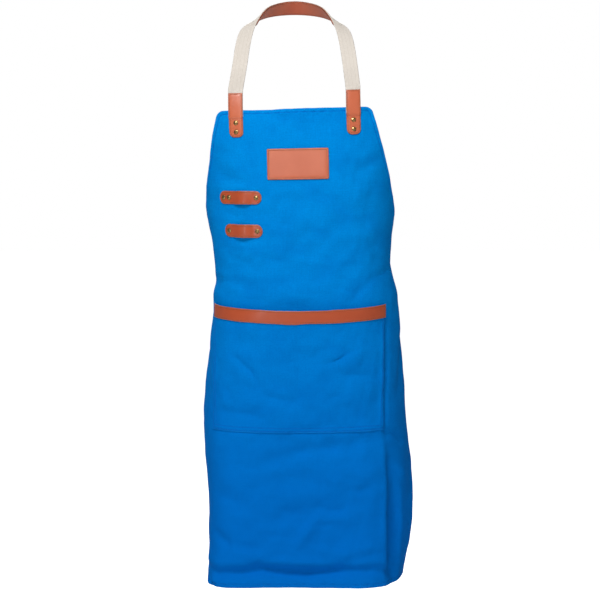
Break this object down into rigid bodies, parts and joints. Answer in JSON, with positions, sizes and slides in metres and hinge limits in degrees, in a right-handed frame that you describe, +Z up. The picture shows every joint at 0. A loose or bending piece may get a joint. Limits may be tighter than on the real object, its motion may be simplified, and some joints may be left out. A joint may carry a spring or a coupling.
{
  "type": "welding apron",
  "caption": "Bib apron in blue canvas with leather trims, front pocket, tool loops, a webbing neck strap and a waist strap with a side-release buckle.",
  "frame": {"origin": "the point where the neck strap bears on the back of the wearer's neck, midway along the strap and on the wearer's middle plane", "axes": "+Z up, front of the apron towards -Y, +X towards the wearer's left"},
  "size_m": [0.4037, 0.2918, 1.1078],
  "materials": {
    "canvas": "bright blue cotton canvas, plain weave, matt",
    "webbing": "natural cotton webbing, ribbed weave, matt",
    "leather": "smooth tan leather, satin, stitched edges",
    "rivet": "antique brass, polished domes with dark hollows",
    "buckle": "black moulded acetal, fine matt texture"
  },
  "bodies": {
    "apron": {"buckle_socket": "buckle", "canvas_body": "canvas", "pocket_panel": "canvas", "pocket_band": "leather", "name_patch": "leather", "upper_tool_loop": "leather", "lower_tool_loop": "leather", "neck_tab_right": "leather", "waist_tab_right": "leather", "neck_tab_left": "leather", "waist_tab_left": "leather", "neck_strap": "webbing", "neck_pad": "leather", "waist_strap_right": "webbing", "waist_strap_left": "webbing", "upper_loop_rivet_1_cap": "rivet", "upper_loop_rivet_1_base": "rivet", "upper_loop_rivet_2_cap": "rivet", "upper_loop_rivet_2_base": "rivet", "upper_loop_rivet_3_cap": "rivet", "upper_loop_rivet_3_base": "rivet", "lower_loop_rivet_1_cap": "rivet", "lower_loop_rivet_1_base": "rivet", "lower_loop_rivet_2_cap": "rivet", "lower_loop_rivet_2_base": "rivet", "neck_tab_right_rivet_1_cap": "rivet", "neck_tab_right_rivet_1_base": "rivet", "neck_tab_right_rivet_2_cap": "rivet", "neck_tab_right_rivet_2_base": "rivet", "neck_tab_left_rivet_1_cap": "rivet", "neck_tab_left_rivet_1_base": "rivet", "neck_tab_left_rivet_2_cap": "rivet", "neck_tab_left_rivet_2_base": "rivet", "waist_tab_right_rivet_1_cap": "rivet", "waist_tab_right_rivet_1_base": "rivet", "waist_tab_right_rivet_2_cap": "rivet", "waist_tab_right_rivet_2_base": "rivet", "waist_tab_left_rivet_1_cap": "rivet", "waist_tab_left_rivet_1_base": "rivet", "waist_tab_left_rivet_2_cap": "rivet", "waist_tab_left_rivet_2_base": "rivet"},
    "plug": {"buckle_plug": "buckle"},
    "arm_upper": {"latch_arm_upper": "buckle"},
    "arm_lower": {"latch_arm_lower": "buckle"},
    "keeper": {"strap_keeper": "leather"}
  },
  "joints": [
    {"name": "buckle_release", "type": "slide", "parent": "apron", "child": "plug", "axis": [1, 0, 0], "range_m": [0, 0.028], "deforming": ["waist_strap_left", "latch_arm_upper", "latch_arm_lower"]},
    {"name": "latch_arm_upper_press", "type": "hinge", "parent": "plug", "child": "arm_upper", "pos_m": [0.0296, 0.057, -0.48117], "axis": [0, -1, 0], "range_deg": [0, 10], "stiffness_Nm_per_rad": 0.3},
    {"name": "latch_arm_lower_press", "type": "hinge", "parent": "plug", "child": "arm_lower", "pos_m": [0.0296, 0.057, -0.50217], "axis": [0, 1, 0], "range_deg": [0, 10], "stiffness_Nm_per_rad": 0.3},
    {"name": "keeper_slide", "type": "slide", "parent": "apron", "child": "keeper", "axis": [1, 0, 0], "range_m": [-0.012, 0.003]}
  ]
}
